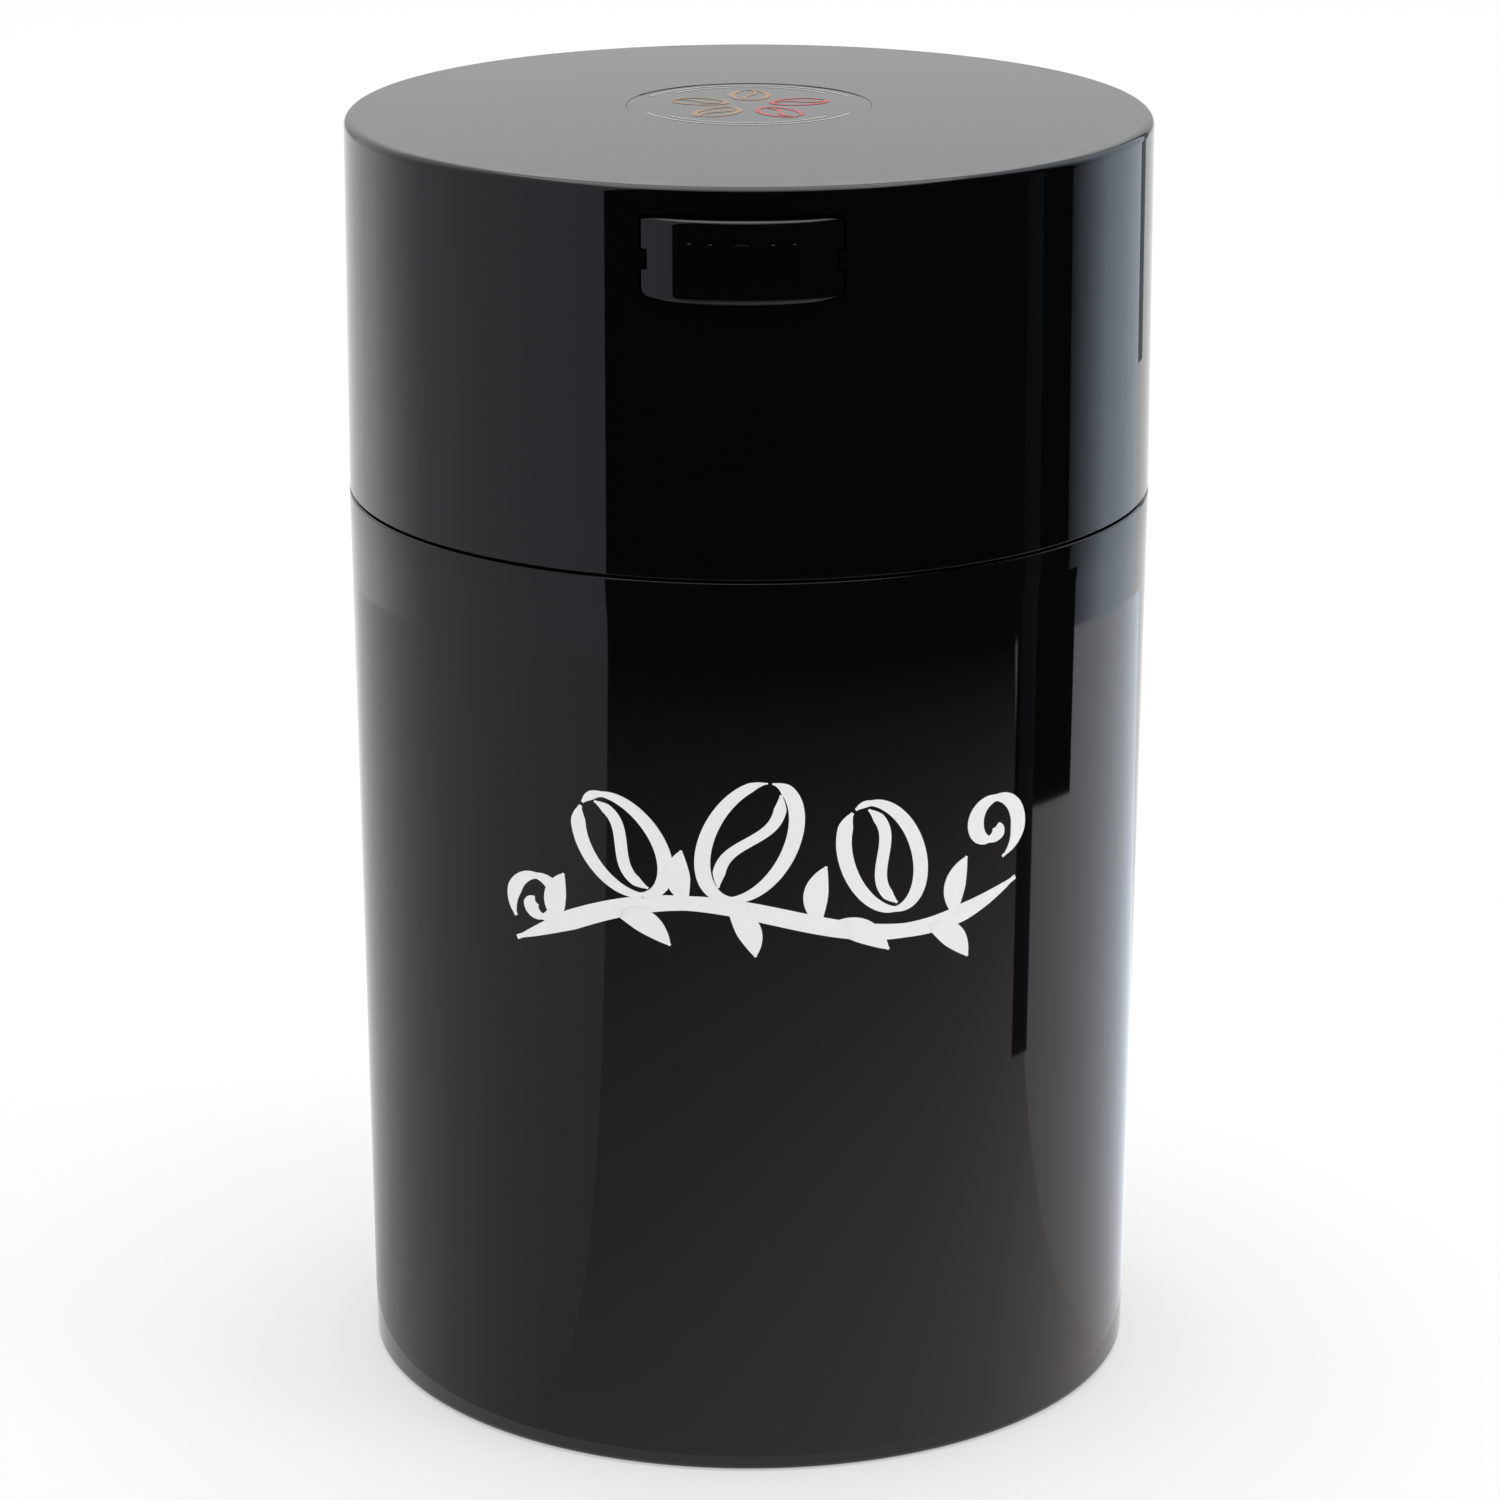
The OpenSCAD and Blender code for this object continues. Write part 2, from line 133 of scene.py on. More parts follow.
class Shader:
    """A node tree that is filled by calls."""

    def __init__(self, tree: bpy.types.NodeTree) -> None:
        """Empties the tree."""
        self.tree = tree
        tree.nodes.clear()

    def node(
        self, kind: str, settings: dict | None = None, inputs: dict | None = None, out: int | str = 0
    ) -> Sock | None:
        """Adds one node.

        Args:
            kind: The node's type.
            settings: Attributes, set first.
            inputs: Values or links of its sockets, by name or number.
            out: Which output is returned.

        Returns:
            The output, wrapped, or None where the node has none.
        """
        made = self.tree.nodes.new(kind)
        for name, value in (settings or {}).items():
            setattr(made, name, value)
        for key, value in (inputs or {}).items():
            if isinstance(value, Sock):
                self.tree.links.new(value.socket, made.inputs[key])
            else:
                made.inputs[key].default_value = value
        return Sock(self, made.outputs[out]) if len(made.outputs) else None

    def noise(self, place: Sock, scale: float, detail: float) -> Sock:
        """Adds a noise texture at a place, of a scale in features per metre and some finer layers."""
        return self.node("ShaderNodeTexNoise", inputs={"Vector": place, "Scale": scale, "Detail": detail})

    def mix(self, factor: Sock, first: Colour, second: Colour) -> Sock:
        """Mixes two colours.

        Args:
            factor: 0 where the first colour shows, 1 where the second does.
            first: The first colour.
            second: The second colour.

        Returns:
            The mixed colour.
        """
        inputs = {MIX_FACTOR: factor, MIX_FIRST_COLOUR: (*first, 1.0), MIX_SECOND_COLOUR: (*second, 1.0)}
        return self.node("ShaderNodeMix", {"data_type": "RGBA"}, inputs, out=MIX_COLOUR_OUT)


def empty_material(name: str) -> tuple[bpy.types.Material, Shader]:
    """Makes a material without nodes.

    Args:
        name: The material's name.

    Returns:
        The material, and the shader that fills it.
    """
    made = bpy.data.materials.new(name)
    made.use_nodes = True
    return made, Shader(made.node_tree)


@dataclass(frozen=True)
class Finish:
    """A moulded or drawn surface: one colour with fine variation, its gloss, and its texture.

    Attributes:
        slot: The record's material slot.
        colour: Linear base colour.
        rough: Roughness of the surface.
        vary: How much colour and roughness vary over the surface, as a share.
        grain: Size of the variation, in millimetres.
        texture: Height of the surface's texture, in millimetres.
        metal: 1 for metal.
        subsurface: Weight of light scattered inside.
    """

    slot: Slot
    colour: Colour
    rough: float
    vary: float = 0.15
    grain: float = 9.0
    texture: float = 0.0
    metal: float = 0.0
    subsurface: float = 0.0

    def build(self) -> bpy.types.Material:
        """Makes the material from noise on Object coordinates.

        Returns:
            The material.
        """
        made, shader = empty_material(self.slot.value)
        place = shader.node("ShaderNodeTexCoord", out="Object")
        coarse = shader.noise(place, 1 / (self.grain * MM), COARSE_DETAIL)
        fine = shader.noise(place, FINE_TIMES / (self.grain * MM), FINE_DETAIL)
        dark = tuple(c * (1 - self.vary) for c in self.colour)
        light = tuple(min(1.0, c * (1 + self.vary)) for c in self.colour)
        inputs = {
            "Base Color": shader.mix(coarse, dark, light),
            "Roughness": coarse * (2 * self.vary * self.rough) + self.rough * (1 - self.vary),
            "Metallic": self.metal,
            "IOR": REFRACTION,
        }
        if self.subsurface:
            inputs["Subsurface Weight"] = self.subsurface
            inputs["Subsurface Scale"] = SCATTER_SCALE
        if self.texture:
            bumps = {"Height": fine, "Distance": self.texture * MM, "Strength": TEXTURE_STRENGTH}
            inputs["Normal"] = shader.node("ShaderNodeBump", inputs=bumps)
        surface = shader.node("ShaderNodeBsdfPrincipled", inputs=inputs)
        shader.node("ShaderNodeOutputMaterial", inputs={"Surface": surface})
        return made


FINISHES = (
    Finish(Slot.BODY, (0.0022, 0.0020, 0.0020), 0.035, grain=40),
    Finish(Slot.CAP, (0.0018, 0.0018, 0.0019), 0.025, grain=40),
    Finish(Slot.BUTTON, (0.0018, 0.0018, 0.0019), 0.035, grain=20),
    Finish(Slot.INLAY, (0.008, 0.0075, 0.007), 0.05, grain=6),
    Finish(Slot.INNER, (0.03, 0.03, 0.032), 0.42, texture=0.03, grain=8),
    Finish(Slot.SILICONE, (0.7, 0.71, 0.69), 0.5, vary=0.05, subsurface=0.3, texture=0.02),
    Finish(Slot.VALVE, (0.45, 0.12, 0.05), 0.5, vary=0.08, subsurface=0.1, texture=0.02),
    Finish(Slot.ACETAL, (0.75, 0.75, 0.72), 0.35, vary=0.05, subsurface=0.15, texture=0.01),
    Finish(Slot.STEEL, (0.6, 0.6, 0.6), 0.28, metal=1.0, grain=1),
)


@dataclass(frozen=True)
class Ink:
    """A satin print colour with slight unevenness.

    Attributes:
        name: The material's name.
        colour: Linear colour where the ink lies thick.
        thin: Share of the colour where it lies thin.
        scale: Patches of unevenness per metre.
        detail: Finer layers of the unevenness.
        rough: Least roughness.
        rough_more: Most that the unevenness adds to it.
    """

    name: str
    colour: Colour
    thin: float = 0.93
    scale: float = 900.0
    detail: float = 3.0
    rough: float = 0.3
    rough_more: float = 0.1

    def build(self) -> bpy.types.Material:
        """Makes the material from noise on Object coordinates.

        Returns:
            The material.
        """
        made, shader = empty_material(self.name)
        noise = shader.noise(shader.node("ShaderNodeTexCoord", out="Object"), self.scale, self.detail)
        mixed = shader.mix(noise, tuple(c * self.thin for c in self.colour), self.colour)
        inputs = {"Base Color": mixed, "Roughness": noise * self.rough_more + self.rough}
        surface = shader.node("ShaderNodeBsdfPrincipled", inputs=inputs)
        shader.node("ShaderNodeOutputMaterial", inputs={"Surface": surface})
        return made


WHITE_INK = Ink("white_ink", (0.86, 0.86, 0.87))
CREAM_INK = Ink("cream_ink", (0.5, 0.48, 0.44))
TAN_INK = Ink("tan_ink", (0.30, 0.17, 0.07))
RED_INK = Ink("red_ink", (0.42, 0.03, 0.02))


def add(name: str, data: bpy.types.ID) -> bpy.types.Object:
    """Makes an object and links it to the scene.

    Args:
        name: The object's name.
        data: Its mesh, lamp or camera.

    Returns:
        The object.
    """
    made = bpy.data.objects.new(name, data)
    bpy.context.scene.collection.objects.link(made)
    return made


def arc(x: float, z: float, r: float, start: float, end: float, count: int) -> np.ndarray:
    """Points on a circle: (x + r cos t, z + r sin t).

    Args:
        x: Its middle, across.
        z: Its middle, up.
        r: Its radius.
        start: The first angle, in degrees.
        end: The last angle, in degrees.
        count: How many points.

    Returns:
        One row for each point.
    """
    t = np.radians(np.linspace(start, end, count))
    return np.stack([x + r * np.cos(t), z + r * np.sin(t)], axis=1)


def grid_faces(rows: int, columns: int, closed: bool = False) -> np.ndarray:
    """Joins a grid of points, numbered along each row in turn, into four-sided faces.

    Args:
        rows: How many rows.
        columns: Points in each row.
        closed: Whether each row's last point joins its first.

    Returns:
        Four vertex numbers for each face: a point, the next row's, and the two beside them.
    """
    steps = columns if closed else columns - 1
    row, column = np.meshgrid(np.arange(rows - 1), np.arange(steps), indexing="ij")
    here = row * columns + column
    beside = row * columns + (column + 1) % columns
    return np.stack([here, here + columns, beside + columns, beside], axis=2).reshape(-1, 4)


def piece(name: str, points: np.ndarray, faces: list, material: bpy.types.Material) -> bpy.types.Object:
    """Makes a smooth object from points in millimetres.

    Args:
        name: The object's name.
        points: Vertices, in millimetres.
        faces: Vertex numbers of each face.
        material: Its material.

    Returns:
        The object, linked to the scene.
    """
    mesh = bpy.data.meshes.new(name)
    mesh.from_pydata((points * MM).tolist(), [], faces)
    mesh.update()
    mesh.shade_smooth()
    mesh.set_sharp_from_angle(angle=math.radians(NEW_SHARP_ANGLE))
    mesh.materials.append(material)
    return add(name, mesh)


def revolve(profile: np.ndarray, sides: int) -> tuple[np.ndarray, list]:
    """Turns an outline that starts and ends on the axis about Z: (r cos t, r sin t, z).

    Args:
        profile: Points (r, z), from one pole to the other.
        sides: Steps round the axis.

    Returns:
        Vertices and faces of the closed solid. The faces point outwards where the outline starts at the
        bottom and goes up the outside.
    """
    t = 2 * np.pi * np.arange(sides) / sides
    ring = profile[1:-1]
    x = np.outer(ring[:, 0], np.cos(t))
    y = np.outer(ring[:, 0], np.sin(t))
    z = np.repeat(ring[:, 1:], sides, axis=1)
    grid = np.stack([x, y, z], axis=2).reshape(-1, 3)
    poles = [[0, 0, profile[0, 1]], [0, 0, profile[-1, 1]]]
    outward = grid_faces(len(ring), sides, closed=True)[:, [0, 3, 2, 1]]
    edge = np.arange(sides)
    turned = (edge + 1) % sides
    last_row = (len(ring) - 1) * sides
    first_pole = np.full(sides, len(grid))
    fans = np.vstack([
        np.stack([first_pole, turned, edge], axis=1),
        np.stack([first_pole + 1, last_row + edge, last_row + turned], axis=1),
    ])
    return np.vstack([grid, poles]), outward.tolist() + fans.tolist()


def merged_copy(node: str, name: str, finish: bpy.types.Material) -> bpy.types.Object:
    """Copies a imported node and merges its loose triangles.

    Args:
        node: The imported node.
        name: The copy's name.
        finish: Its material.

    Returns:
        The copy, shaded smooth.
    """
    made = add(name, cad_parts[node].data.copy())
    weld = made.modifiers.new("weld", "WELD")
    weld.merge_threshold = MERGE_DISTANCE
    bpy.context.view_layer.update()
    merged = bpy.data.meshes.new_from_object(made.evaluated_get(bpy.context.evaluated_depsgraph_get()))
    made.modifiers.clear()
    made.data = merged
    merged.name = name
    merged.shade_smooth()
    merged.materials.clear()
    merged.materials.append(finish)
    return made


def read(parts: bpy.types.bpy_prop_collection, attribute: str, width: int, kind: type = float) -> np.ndarray:
    """Reads one attribute of a mesh's vertices, corners or faces.

    Args:
        parts: The vertices, corners or faces.
        attribute: The attribute's name.
        width: How many numbers it has.
        kind: The numbers' type.

    Returns:
        One row for each part.
    """
    flat = np.empty(len(parts) * width, dtype=kind)
    parts.foreach_get(attribute, flat)
    return flat.reshape(-1, width)


@dataclass
class Canister:
    """Sizes that the pieces share, in millimetres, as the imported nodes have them.

    Attributes:
        base_r: Radius at the base.
        shoulder_r: Radius at the top of the cup.
        body_h: Height of the cup.
        rim_z: Height of the cap's lower edge.
        top_z: Height where the cap's crown starts.
        rim_r: Radius at the cap's lower edge.
        top_r: Radius at the cap's upper edge.
        cap_round: Rounding of the cap's upper edge.
        crown: How much the top's middle rises.
        label_r: Radius of the inlay.
    """

    base_r: float = 58.87
    shoulder_r: float = 60.3
    body_h: float = 136.85
    rim_z: float = 137.2
    top_z: float = 193.05
    rim_r: float = 60.275
    top_r: float = 60.0
    cap_round: float = 1.3
    crown: float = 1.0
    label_r: float = 18.2

    def side_r(self, z: np.ndarray) -> np.ndarray:
        """Radius of the body's side at a height: a straight line from base to shoulder."""
        return self.base_r + (self.shoulder_r - self.base_r) * z / self.body_h

    def crown_z(self, r: np.ndarray) -> np.ndarray:
        """Height of the crowned top: a parabola from the middle to the fillet."""
        return self.top_z + self.crown * (1 - (r / (self.top_r - self.cap_round)) ** 2)


@dataclass
class Cup:
    """The outer cup, with its floor, foot ring and the seat for the collar. Its sizes are in millimetres.

    Attributes:
        real: The sizes that the pieces share.
        wall: Thickness of the side.
        floor_z: Height of the floor inside.
        foot_hollow: Depth of the hollow inside the foot ring.
        foot_w: Width of the foot ring's flat.
        base_round: Rounding at the base.
        floor_round: Rounding between the floor and the side.
        shoulder_round: Rounding of the rim.
        rim_w: Width of the rim outside the collar's seat.
        collar_t: Depth of the collar's seat.
        side_rows: Rows of points up the side.
        round_points: Points along the rounding at the base and at the floor.
        rim_points: Points along the rounding of the rim.
    """

    real: Canister
    wall: float = 2.2
    floor_z: float = 4.0
    foot_hollow: float = 1.6
    foot_w: float = 5.0
    base_round: float = 1.2
    floor_round: float = 3.0
    shoulder_round: float = 0.4
    rim_w: float = 1.0
    collar_t: float = 1.6
    side_rows: int = 24
    round_points: int = 9
    rim_points: int = 7

    def profile(self) -> np.ndarray:
        """Draws the cup's outline: foot, side, rim, seat, inside and floor, joined by arcs.

        Returns:
            Points (r, z), from the middle of the base to the middle of the floor.
        """
        c = self.real
        foot_out = c.base_r - self.base_round
        foot_in = foot_out - self.foot_w
        round_r, round_z = c.shoulder_r - self.shoulder_round, c.body_h - self.shoulder_round
        collar_z = c.body_h - self.collar_t
        seat_out, seat_in = c.shoulder_r - self.rim_w, c.side_r(collar_z) - self.wall
        corner = c.side_r(self.floor_z) - self.wall - self.floor_round
        side = np.linspace(self.base_round, round_z, self.side_rows)[1:-1]
        return np.vstack([
            [[0, self.foot_hollow], [foot_in - self.foot_hollow, self.foot_hollow], [foot_in, 0]],
            arc(foot_out, self.base_round, self.base_round, -90, 0, self.round_points),
            np.stack([c.side_r(side), side], axis=1),
            arc(round_r, round_z, self.shoulder_round, 0, 90, self.rim_points),
            [[seat_out, c.body_h], [seat_out, collar_z], [seat_in, collar_z]],
            arc(corner, self.floor_z + self.floor_round, self.floor_round, 0, -90, self.round_points),
            [[0, self.floor_z]],
        ])

    def dress(self, finish: bpy.types.Material) -> bpy.types.Object:
        """Builds the cup and puts it in the node's place.

        Args:
            finish: Its material.

        Returns:
            The cup.
        """
        made = piece("cup", *revolve(self.profile(), ROUND_SIDES), finish)
        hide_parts("body_shell")
        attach(made, "canister")
        return made


@dataclass(frozen=True)
class Smoothed:
    """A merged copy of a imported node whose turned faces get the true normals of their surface.

    Attributes:
        node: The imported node.
        name: The copy's name.
        body: The body that it rides on.
        slot: Its material slot.
        centre_y: Where its axis crosses the Y axis, in millimetres.
        fillet_r: Radius of the circle that the middles of the fillets lie on.
        fillet_low: Height of the lower fillet's middle, or 0 without such a fillet.
        fillet_high: Height of the upper fillet's middle.
        side_tilt: How much the side's normal rises for each step outwards.
        crown: How much the top's middle rises.
        match: A face within the angle of this cosine of its true normal gets it.
    """

    node: str
    name: str
    body: str
    slot: Slot
    centre_y: float
    fillet_r: float
    fillet_low: float
    fillet_high: float
    side_tilt: float = 0.0
    crown: float = 0.0
    match: float = 0.94

    def normals(self, points: np.ndarray) -> np.ndarray:
        """Works out a turned surface's normals.

        They point outwards on the side, away from the fillets' middles above and below it, and along the
        crown's parabola on the top.

        Args:
            points: Places on the surface, in millimetres.

        Returns:
            One unit vector for each place.
        """
        x, y = points[:, 0], points[:, 1] - self.centre_y
        r = np.maximum(np.hypot(x, y), TINY)
        up = points[:, 2] - self.fillet_high
        down = np.minimum(points[:, 2] - self.fillet_low, 0)
        rise = np.maximum(up, 0) + down
        out = np.maximum(r - self.fillet_r, 0)
        flat = (r <= self.fillet_r) & (up > 0)
        tilt = np.where(flat, 2 * self.crown * r / self.fillet_r**2, np.where(rise == 0, 1, out))
        high = np.where(flat, 1.0, np.where(rise == 0, self.side_tilt, rise))
        vectors = np.stack([x / r * tilt, y / r * tilt, high], axis=1)
        return vectors / np.maximum(np.linalg.norm(vectors, axis=1, keepdims=True), TINY)

    def dress(self, finish: bpy.types.Material) -> bpy.types.Object:
        """Copies and merges the node's mesh, sets its normals, and puts it in the node's place.

        Args:
            finish: Its material.

        Returns:
            The copy.
        """
        made = merged_copy(self.node, self.name, finish)
        mesh = made.data
        mesh.set_sharp_from_angle(angle=math.radians(MERGED_SHARP_ANGLE))
        vertex = read(mesh.loops, "vertex_index", 1, np.int32).ravel()
        smooth = read(mesh.corner_normals, "vector", 3)
        corners = read(mesh.polygons, "loop_total", 1, np.int32).ravel()
        face = np.repeat(read(mesh.polygons, "normal", 3), corners, axis=0)
        true = self.normals(read(mesh.vertices, "co", 3)[vertex] / MM)
        fits = np.einsum("ij,ij->i", face, true) > self.match
        mesh.normals_split_custom_set(np.where(fits[:, None], true, smooth).tolist())
        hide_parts(self.node)
        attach(made, self.body)
        return made


@dataclass
class Cap:
    """The gloss cap, turned about the canister's axis.

    Attributes:
        real: The sizes that the pieces share.
    """

    real: Canister

    def dress(self, finish: bpy.types.Material) -> bpy.types.Object:
        """Puts a smoothed copy of the cap in the node's place.

        Args:
            finish: Its material.

        Returns:
            The cap.
        """
        c = self.real
        return Smoothed(
            node="cap_shell", name="cap", body="lid", slot=Slot.CAP, centre_y=0.0,
            fillet_r=c.top_r - c.cap_round, fillet_low=0.0, fillet_high=c.top_z - c.cap_round,
            side_tilt=(c.rim_r - c.top_r) / (c.top_z - c.rim_z), crown=c.crown,
        ).dress(finish)


@dataclass
class PushButton:
    """The push button, whose bulging face is turned about an upright axis of its own, in millimetres.

    Attributes:
        centre_y: Where that axis crosses the Y axis.
        face_r: Radius of the face.
        low_z: Height of its lower edge.
        high_z: Height of its upper edge.
        edge: Rounding of both edges.
        match: Cosine of the angle within which a face gets its true normal.
    """

    centre_y: float = -33.41
    face_r: float = 28.64
    low_z: float = 176.8
    high_z: float = 188.85
    edge: float = 1.1
    match: float = 0.97

    def dress(self, finish: bpy.types.Material) -> bpy.types.Object:
        """Puts a smoothed copy of the button in the node's place.

        Args:
            finish: Its material.

        Returns:
            The button.
        """
        return Smoothed(
            node="button", name="push_button", body="button", slot=Slot.BUTTON, centre_y=self.centre_y,
            fillet_r=self.face_r - self.edge, fillet_low=self.low_z + self.edge,
            fillet_high=self.high_z - self.edge, match=self.match,
        ).dress(finish)


@dataclass(frozen=True)
class Coil:
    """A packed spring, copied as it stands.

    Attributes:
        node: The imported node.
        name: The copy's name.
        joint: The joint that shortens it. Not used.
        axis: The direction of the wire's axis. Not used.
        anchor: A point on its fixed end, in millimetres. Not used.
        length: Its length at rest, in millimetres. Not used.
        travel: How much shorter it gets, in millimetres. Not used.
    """

    node: str
    name: str
    joint: str
    axis: tuple[float, float, float]
    anchor: tuple[float, float, float]
    length: float
    travel: float

    def dress(self, finish: bpy.types.Material) -> bpy.types.Object:
        """Puts a merged copy of the spring in the node's place.

        Args:
            finish: Its material.

        Returns:
            The copy.
        """
        made = merged_copy(self.node, self.name, finish)
        anchor = tuple(v * MM for v in self.anchor)
        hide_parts(self.node)
        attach(made, "lid")
        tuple(self.axis)
        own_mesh(made)
        return made


COILS = (
    Coil(
        node="button_springs", name="button_coils", joint="button_press",
        axis=(0, 1, 0), anchor=(0, -45.7, 182.3), length=7.9, travel=2.5,
    ),
    Coil(
        node="valve_spring", name="valve_coil", joint="valve_lift",
        axis=(0, 0, 1), anchor=(0, -40, 190.85), length=3.68, travel=1.7506,
    ),
)


@dataclass(frozen=True)
class Stroke:
    """A brush stroke on a flat sheet, in millimetres.

    Attributes:
        line: Points of its centre line.
        half: Half its width at each point.
    """

    line: np.ndarray
    half: np.ndarray

    def rails(self) -> tuple[np.ndarray, np.ndarray]:
        """Finds the two edges: the line moved sideways by its half width, along its normal.

        Returns:
            The left edge and the right edge.
        """
        along = np.gradient(self.line, axis=0)
        along /= np.maximum(np.linalg.norm(along, axis=1, keepdims=True), TINY)
        side = np.stack([-along[:, 1], along[:, 0]], axis=1) * self.half[:, None]
        return self.line + side, self.line - side


# Strokes: shares of their width and length, angles in degrees, and how many points they have
TIP_WIDTH = 0.12
TIP_POWER = 0.7
BEAN_RIM_ANGLES = (18, 372)
BEAN_RIM_POINTS = 90
BEAN_RIM_TAPER = 0.06
BEAN_FOLD_REACH = 0.88
BEAN_FOLD_SWAY = 0.32
BEAN_FOLD_POINTS = 50
BEAN_FOLD_WIDTH = 0.8
BEAN_FOLD_THIN = 0.6
LEAF_BOW = 0.12
LEAF_TIP = 0.02
LEAF_POWER = 0.8
LEAF_POINTS = 40
CURL_SHRINK = 0.8
CURL_POINTS = 70


def brush(x: np.ndarray, y: np.ndarray, width: float, thin: float = 0.35, taper: float = 0.12) -> Stroke:
    """A stroke that is thick where it runs down and thin where it runs across, with drawn-out ends.

    Args:
        x: Points along the line, across the sheet.
        y: Points along the line, up the sheet.
        width: Full width where the stroke runs down.
        thin: Share of the width where it runs across.
        taper: Share of the length over which each end grows.

    Returns:
        The stroke.
    """
    line = np.stack([x, y], axis=1)
    along = np.gradient(line, axis=0)
    steep = np.abs(along[:, 1]) / np.maximum(np.linalg.norm(along, axis=1), TINY)
    t = np.linspace(0, 1, len(x))
    ends = np.clip(np.minimum(t, 1 - t) / taper, TIP_WIDTH, 1) ** TIP_POWER
    return Stroke(line, width / 2 * (thin + (1 - thin) * steep) * ends)


def bean(x: float, y: float, long: float, wide: float, tilt: float, width: float) -> list[Stroke]:
    """A coffee bean in two strokes: an ellipse round it and half a sine wave each way through it.

    Args:
        x: Its middle, across the sheet.
        y: Its middle, up the sheet.
        long: Half its length.
        wide: Half its width.
        tilt: Turn to the left, in degrees.
        width: Width of the strokes.

    Returns:
        The strokes.
    """
    t = np.radians(np.linspace(*BEAN_RIM_ANGLES, BEAN_RIM_POINTS))
    s = np.linspace(-BEAN_FOLD_REACH, BEAN_FOLD_REACH, BEAN_FOLD_POINTS)
    turn = math.radians(tilt)
    spin = np.array([[math.cos(turn), -math.sin(turn)], [math.sin(turn), math.cos(turn)]])
    rim = spin @ np.stack([long * np.cos(t), wide * np.sin(t)])
    fold = spin @ np.stack([long * s, -BEAN_FOLD_SWAY * wide * np.sin(np.pi * s)])
    return [
        brush(x + rim[0], y + rim[1], width, taper=BEAN_RIM_TAPER),
        brush(x + fold[0], y + fold[1], width * BEAN_FOLD_WIDTH, thin=BEAN_FOLD_THIN),
    ]


def leaf(x: float, y: float, length: float, tilt: float, width: float) -> Stroke:
    """A filled leaf: a line bowed by half a sine wave, whose width follows a power of that wave.

    Args:
        x: Its foot, across the sheet.
        y: Its foot, up the sheet.
        length: Its length.
        tilt: Turn to the left, in degrees.
        width: Its greatest width.

    Returns:
        The stroke.
    """
    t = np.linspace(0, 1, LEAF_POINTS)
    turn = math.radians(tilt)
    u, v = length * t, LEAF_BOW * length * np.sin(np.pi * t)
    across = x + u * math.cos(turn) - v * math.sin(turn)
    high = y + u * math.sin(turn) + v * math.cos(turn)
    half = width / 2 * np.sin(np.pi * np.clip(t, LEAF_TIP, 1 - LEAF_TIP)) ** LEAF_POWER
    return Stroke(np.stack([across, high], axis=1), half)


def curl(x: float, y: float, size: float, start: float, turn: float, width: float) -> Stroke:
    """A scroll: a spiral whose radius shrinks to a fifth along its turn.

    Args:
        x: Its middle, across the sheet.
        y: Its middle, up the sheet.
        size: Its radius at its outer end.
        start: Angle of its outer end, in degrees.
        turn: How far it turns to the left, in degrees.
        width: Width of the stroke.

    Returns:
        The stroke.
    """
    t = np.linspace(0, 1, CURL_POINTS)
    angle = np.radians(start + turn * t)
    r = size * (1 - CURL_SHRINK * t)
    return brush(x + r * np.cos(angle), y + r * np.sin(angle), width)


@dataclass(frozen=True)
class Print:
    """Thin closed ribbons laid on a surface.

    Attributes:
        name: The piece's name.
        body: The body that it rides on.
        slot: Its material slot. Not used.
        paint: Its ink.
        sunk: How far the ribbons reach into the surface, in millimetres.
        raised: How far they stand over it, in millimetres.
    """

    name: str
    body: str
    slot: Slot
    paint: Ink
    sunk: float = 0.04
    raised: float = 0.05

    def lay(self, strokes: list[Stroke], wrap: Wrap) -> bpy.types.Object:
        """Joins the strokes' ribbons, each a closed strip between a sunk and a raised layer.

        Args:
            strokes: The strokes.
            wrap: Maps flat points and a height over the surface to places, in millimetres.

        Returns:
            The finished piece.
        """
        points, faces, start = [], [], 0
        for stroke in strokes:
            left, right = stroke.rails()
            low = [wrap(left, -self.sunk), wrap(right, -self.sunk)]
            high = [wrap(right, self.raised), wrap(left, self.raised)]
            rows = np.stack(low + high, axis=1)
            first_end = list(range(start, start + RIBBON_SIDES))
            last_end = [number + (len(rows) - 1) * RIBBON_SIDES for number in reversed(first_end)]
            faces += (start + grid_faces(len(rows), RIBBON_SIDES, closed=True)).tolist()
            faces += [first_end, last_end]
            points.append(rows.reshape(-1, 3))
            start += len(rows) * RIBBON_SIDES
        made = piece(self.name, np.vstack(points), faces, self.paint.build())
        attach(made, self.body)
        return made


